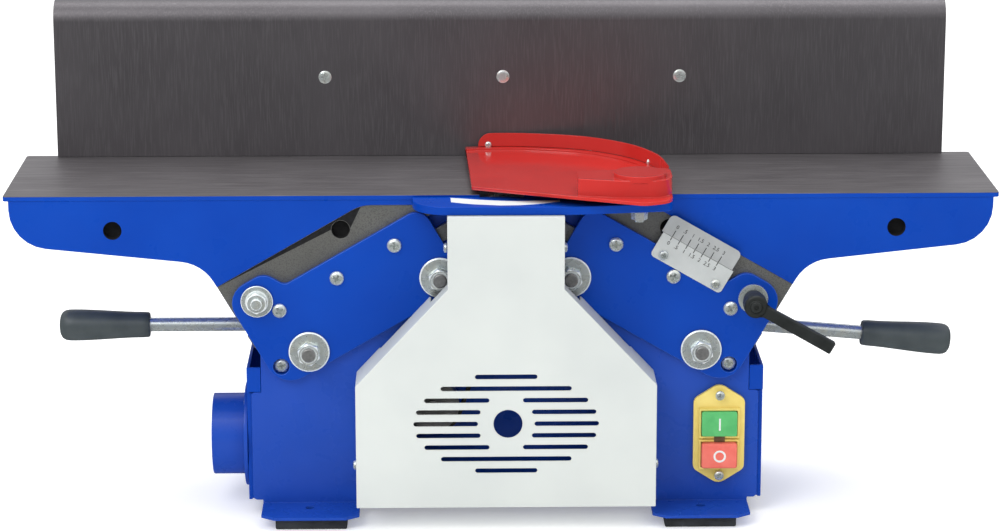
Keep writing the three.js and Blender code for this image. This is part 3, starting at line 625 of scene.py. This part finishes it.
# Levers
# Each bright rod is screwed into a hub on the lever's shaft, and a crank on the shaft pushes the
# table along its ramp. The grips are moulded in dark grey plastic and swell towards their ends.
grip_plastic = finish("grey_grip_plastic", 0.42, specular=0.5)
coloured(grip_plastic, pattern(grip_plastic, 18), (0.052, 0.066, 0.070), (0.072, 0.088, 0.092))
roughened(grip_plastic, pattern(grip_plastic, 5), 0.36, 0.5)
raised(grip_plastic, pattern(grip_plastic, 0.7), 0.02)
LEVER_X, LEVER_Y, LEVER_Z = 205, 87.5, 159.5
LEVERS = {"outfeed": (207.8, 0.0), "infeed": (213.7, 5.0)}
for name, side in SIDES.items():
    length, droop = LEVERS[name]
    dressed(f"{name}_lever", f"{name}_lever", "zinc", zinc, 0.4)
    swell = [(12 + 2.6 * (3 * t * t - 2 * t ** 3), 78 - 64 * t) for t in [k / 8 for k in range(9)]]
    rings = [(7.2, 84), (10.8, 83.6), (11.6, 82.6), *swell,
             (14.5, 9), (13.9, 5.5), (12.2, 2.6), (9, 0.8), (5, 0)]
    rings = [(radius, length - from_end) for radius, from_end in rings]
    grip = smoothed(turned(f"{name}_grip_shape", rings, 48), 40)
    turn = Matrix.Rotation(math.radians(droop) * side, 4, "Y")
    grip.data.transform(Matrix.Translation(at(side * LEVER_X, LEVER_Y, LEVER_Z)) @ turn
                        @ Matrix.Rotation(side * math.pi / 2, 4, "Y"))
    fitted(grip, grip_plastic, "black_plastic", f"{name}_lever", f"{name}_grip")


# Belt cover
# A pale folded steel shell with a slotted grille round its air intake. It is closed at the sides
# and screwed to the body at its shoulders and low on its walls.
cover_paint = powder_coat("pale_cover_paint", (0.60, 0.63, 0.61), (0.66, 0.69, 0.66), 0.42)
dressed("belt_cover", "base", "cover_paint", cover_paint, 0.7, 3)
pan_9 = pan_head("small_pan_head", 4.4, 2.6)
COVER_SCREWS, COVER_SCREW_Y = ((53, 258.5), (136, 56)), -22
for x, z in COVER_SCREWS:
    for side, direction in ((-1, "-X"), (1, "+X")):
        stand = facing(side * x, COVER_SCREW_Y, z, direction)
        screw = placed(pan_9, f"cover_screw_{x}_{side + 1}", stand, 25)
        fitted(screw, zinc, "zinc", "base")


# Belt drive
# A ribbed rubber belt joins the small pulley on the cutterhead to the larger one on the motor. The
# three knives are clamped in a steel block that turns in two bearings.
belt_rubber = finish("belt_rubber", 0.7, specular=0.3)
coloured(belt_rubber, pattern(belt_rubber, 6), (0.014, 0.014, 0.015), (0.03, 0.03, 0.032))
raised(belt_rubber, pattern(belt_rubber, 1.6), 0.2)
dressed("drive_belt", "base", "rubber", belt_rubber, 0.6)
for node, body in (("cutter_pulley", "cutterhead"), ("motor_pulley", "motor_rotor"),
                   ("motor_shaft", "motor_rotor"), ("cutter_block", "cutterhead"),
                   ("knife_1", "cutterhead"), ("knife_2", "cutterhead"), ("knife_3", "cutterhead")):
    dressed(node, body, "steel", turned_steel, 0.3)
for end in ("front", "rear"):
    dressed(f"{end}_bearing", "base", "steel", turned_steel, 0.6)
dressed("motor", "base", "black_plastic", black_plastic, 1)


# Chip chute and dust port
# The chute is bent from thin steel under the cutterhead and leads the chips out to the left. There
# a pressed round flange, screwed to the end panel, ends in a tube for a hose.
dressed("chip_chute", "base", "blue_paint", blue_paint, 0.5)
# The port takes the lighter blue with its painted sheen.
dressed("dust_port", "base", "blue_paint", painted_sheen_blue, 0.8)
flange_face = (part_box("outfeed_end_panel")[0].x - centre_x) / MM
for z in (29, 101):
    for y in (27, 148):
        stand = facing(flange_face - 2, y, z, "-X")
        screw = placed(pan_9, f"port_screw_{z}_{y}", stand, z + y)
        fitted(screw, zinc, "zinc", "base")


# Switch
# A moulded yellow frame on the front panel holds two buttons, green to start above and red to stop
# below, with a brown catch between them. Each carries its plain symbol, and two screws hold it.
yellow = finish("yellow_plastic", 0.45)
coloured(yellow, pattern(yellow, 14), (0.80, 0.62, 0.14), (0.88, 0.70, 0.2))
raised(yellow, pattern(yellow, 0.8), 0.03)
green = finish("green_plastic", 0.35)
coloured(green, pattern(green, 10), (0.085, 0.47, 0.14), (0.12, 0.56, 0.18))
raised(green, pattern(green, 0.8), 0.02)
stop_red = finish("red_button_plastic", 0.35)
coloured(stop_red, pattern(stop_red, 10), (0.85, 0.14, 0.1), (0.92, 0.2, 0.15))
raised(stop_red, pattern(stop_red, 0.8), 0.02)
symbol_white = finish("white_symbol_ink", 0.5)
coloured(symbol_white, pattern(symbol_white, 3), (0.75, 0.78, 0.75), (0.85, 0.86, 0.84))
umber = finish("brown_lock_plastic", 0.5)
coloured(umber, pattern(umber, 4), (0.10, 0.055, 0.02), (0.16, 0.09, 0.035))
raised(umber, pattern(umber, 0.8), 0.02)
dressed("switch_front", "base", "yellow_plastic", yellow, 0.35)
dressed("start_button", "start_button", "green_plastic", green, 0.8, 3)
dressed("stop_button", "stop_button", "red_plastic", stop_red, 1.6, 4)
SWITCH_X = 195.3
start_face, stop_face = front_of("start_button"), front_of("stop_button")
frame_face = front_of("switch_front")
bar = box_between("start_bar", at(SWITCH_X - 0.8, start_face - 0.15, 82.3),
                  at(SWITCH_X + 0.8, start_face + 0.2, 93.7))
bpy.ops.object.mode_set(mode="OBJECT")
fitted(bar, symbol_white, None, "start_button")
deselect()
bpy.ops.mesh.primitive_torus_add(major_radius=4.8 * MM, minor_radius=0.9 * MM, major_segments=48)
ring = bpy.context.object
ring.name = "stop_ring"
bpy.ops.transform.resize(value=(1, 1, 0.2))
bpy.ops.object.transform_apply(location=True, rotation=True, scale=True)
ring.data.transform(facing(SWITCH_X, stop_face, 58.6))
fitted(smoothed(ring), symbol_white, None, "stop_button")
catch = box_between("catch", at(SWITCH_X - 5, frame_face - 0.8, 71),
                    at(SWITCH_X + 5, frame_face + 1, 76.6))
bpy.ops.object.mode_set(mode="OBJECT")
rounded(catch, 0.5)
fitted(catch, umber, None, "base")
for z, spin in ((114.8, 10), (39, 60)):
    screw = placed(pan_9, f"switch_screw_{z}", facing(SWITCH_X, frame_face, z), spin)
    fitted(screw, zinc, "zinc", "base")


# Depth scale
# Two stamped plates stand edge to edge along the infeed ramp, printed with ticks 8 mm apart and
# plain numbers. The upper one rides with the table, and two screws hold the lower one.
def scale_plate(name, dark, light):
    material = finish(name, 0.45, metallic=0.25)
    coloured(material, pattern(material, 20), dark, light)
    raised(material, pattern(material, 0.6, (20, 1, 1)), 0.01)
    return material


scale_white = scale_plate("white_scale", (0.60, 0.63, 0.62), (0.68, 0.71, 0.70))
scale_grey = scale_plate("grey_scale", (0.42, 0.44, 0.44), (0.52, 0.54, 0.54))
scale_ink = finish("scale_ink", 0.6)
coloured(scale_ink, pattern(scale_ink, 2), (0.01, 0.01, 0.01), (0.03, 0.03, 0.03))
dressed("fixed_scale", "base", "scale_plate", scale_white, 0.2)
dressed("moving_scale", "infeed_table", "scale_plate", scale_grey, 0.2)
scale_tilt = Matrix.Rotation(SLOPE, 4, "Y")
FIRST_TICK, TICK_STEP = 149.1, 8
NUMBERS = ("0", ".5", "1", "1.5", "2", "2.5", "3")


def printed(piece, name, along, height, face, body):
    """The piece, made flat on XZ, is laid on the scale's face at that point of the ramp."""
    x, z = on_ramp(1, along, height)
    piece.name = name
    piece.data.transform(Matrix.Translation(at(x, face, z)) @ scale_tilt)
    fitted(piece, scale_ink, None, body)


for body, node, number_height, tick_height, half in (
        ("base", "fixed_scale", 35, 39.7, 1.6), ("infeed_table", "moving_scale", 51.6, 45, 3)):
    face = front_of(node)
    for tick, digits in enumerate(NUMBERS):
        along = FIRST_TICK + tick * TICK_STEP
        mark = box_between("mark", Vector((-0.35, -0.12, -half)) * MM,
                           Vector((0.35, 0.2, half)) * MM)
        bpy.ops.object.mode_set(mode="OBJECT")
        printed(mark, f"{node}_tick_{tick}", along, tick_height, face, body)
        deselect()
        bpy.ops.object.text_add(rotation=(math.pi / 2, 0, 0))
        text = bpy.context.object
        text.data.body = digits
        text.data.align_x, text.data.align_y = "CENTER", "CENTER"
        text.data.size, text.data.extrude = 5 * MM, 0.12 * MM
        text.data.resolution_u = 3
        bpy.ops.object.convert(target="MESH")
        number = bpy.context.object
        bpy.ops.object.transform_apply(location=True, rotation=True, scale=True)
        printed(number, f"{node}_number_{tick}", along, number_height, face, body)
scale_face = front_of("fixed_scale")
SCALE_SCREWS, SCALE_SCREW_HEIGHT = (151, 205.2), 23.2
for along in SCALE_SCREWS:
    x, z = on_ramp(1, along, SCALE_SCREW_HEIGHT)
    screw = placed(pan_9, f"scale_screw_{round(along)}", facing(x, scale_face, z), along)
    fitted(screw, zinc, "zinc", "base")


# Guard
# A cast red plate swings over the cutters on a post in the shelf. A bent sheet wing is held to its
# rim by three small screws, and a blank label is stuck to the shelf.
red_paint = finish("glossy_red_paint", 0.16, coat=0.6)
coloured(red_paint, pattern(red_paint, 60), (0.55, 0.022, 0.018), (0.62, 0.03, 0.024))
roughened(red_paint, pattern(red_paint, 20), 0.12, 0.22)
raised(red_paint, pattern(red_paint, 3, detail=1), 0.02)
dressed("guard_shelf", "base", "blue_paint", blue_paint, 0.8, 3)
plate = copied("guard_plate", merged=False)
rounded(plate, 0.4)
fitted(plate, red_paint, "guard_red", "guard", "guard_plate")
dressed("guard_wing", "guard", "guard_red", red_paint, 0.4)
dressed("guard_pivot", "base", "zinc", zinc, 0.4)
pan_6 = pan_head("tiny_pan_head", 3.1, 2)
WING_SCREWS, WING_SCREW_Z = ((-13, 163, 0), (81, 150.5, 14), (134, 82, 45)), 313.2
for number, (x, y, turn) in enumerate(WING_SCREWS):
    stand = facing(x, y, WING_SCREW_Z) @ Matrix.Rotation(math.radians(turn), 4, "Y")
    screw = placed(pan_6, f"wing_screw_{number}", stand, 20)
    fitted(screw, zinc, "zinc", "guard")
label_white = finish("blank_label", 0.35)
coloured(label_white, pattern(label_white, 30), (0.74, 0.77, 0.77), (0.82, 0.84, 0.84))
raised(label_white, pattern(label_white, 4), 0.02)
LABEL = ((-49, -4.5), (-48.5, -21.6), (-38, -26.8), (-27, -30.8), (-5, -35.6), (12.5, -34.8),
         (25, -31.8), (35, -27.8), (48.5, -20.5), (48.7, -13.8), (36, -16.8), (18, -19),
         (0, -18), (-20, -13.5), (-36, -8.5))
shelf_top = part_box("guard_shelf")[1].z / MM
deselect()
bpy.ops.mesh.primitive_circle_add(vertices=len(LABEL), fill_type="NGON")
label = bpy.context.object
label.name = "shelf_label"
for point, (x, y) in zip(label.data.vertices, LABEL):
    point.co = at(x, y, shelf_top + 0.05)
bpy.ops.object.mode_set(mode="EDIT")
bpy.ops.mesh.select_all(action="SELECT")
bpy.ops.mesh.extrude_region_move()
bpy.ops.transform.translate(value=(0, 0, 0.15 * MM))
bpy.ops.mesh.select_all(action="SELECT")
bpy.ops.mesh.normals_make_consistent(inside=False)
bpy.ops.object.mode_set(mode="OBJECT")
fitted(label, label_white, None, "base")


# Fence
# A brushed steel plate with its upper edge bent back, held to a blue brace by three screws. The
# brace is hinged on a bracket behind the body and is held at its angle by a knob.
fence_metal = ground_iron("brushed_fence", (0.108, 0.10, 0.107), (0.128, 0.119, 0.127),
                          (0.142, 0.133, 0.141), (1, 1, 24))
# A much paler copy of the fence steel is painted on the front faces of the upper bend as a highlight.
bend_painted_highlight = ground_iron("painted_highlight_bend", (0.42, 0.39, 0.42), (0.52, 0.49, 0.52),
                         (0.6, 0.57, 0.6), (40, 1, 1))
panel = copied("fence_panel")
rounded(panel, 0.5)
fitted(panel, fence_metal, "fence_metal", "fence", "fence_panel")
panel.data.materials.append(bend_painted_highlight)
BEND = 430.7
for face in panel.data.polygons:
    on_bend_highlight = abs(face.center.z / MM - BEND) < 1.4 and face.normal.y < -0.5
    face.material_index = 1 if on_bend_highlight else 0
dressed("fence_brace", "fence", "blue_paint", blue_paint, 0.8)
dressed("fence_bracket", "base", "blue_paint", blue_paint, 0.8)
dressed("fence_hinge_pin", "base", "zinc", zinc, 0.5)
dressed("tilt_knob", "tilt_knob", "black_plastic", black_plastic, 1)
FENCE_Y, SCREW_Z = 167, 377.8
countersunk = smoothed(joined(
    "countersunk", turned("rim", [(6.1, -0.2), (6.1, 0.12), (5.7, 0.3), (5.2, 0.12)], 48),
    pan_head("flat_head", 5.4, 0.7)))
for number, x in enumerate((-166.2, 1, 167.3)):
    stand = facing(x, FENCE_Y, SCREW_Z)
    screw = placed(countersunk, f"fence_screw_{number}", stand, 20 + 35 * number)
    fitted(screw, zinc, "zinc", "fence")

for master in (pan_13, pan_9, pan_6, countersunk):
    bpy.data.objects.remove(master)
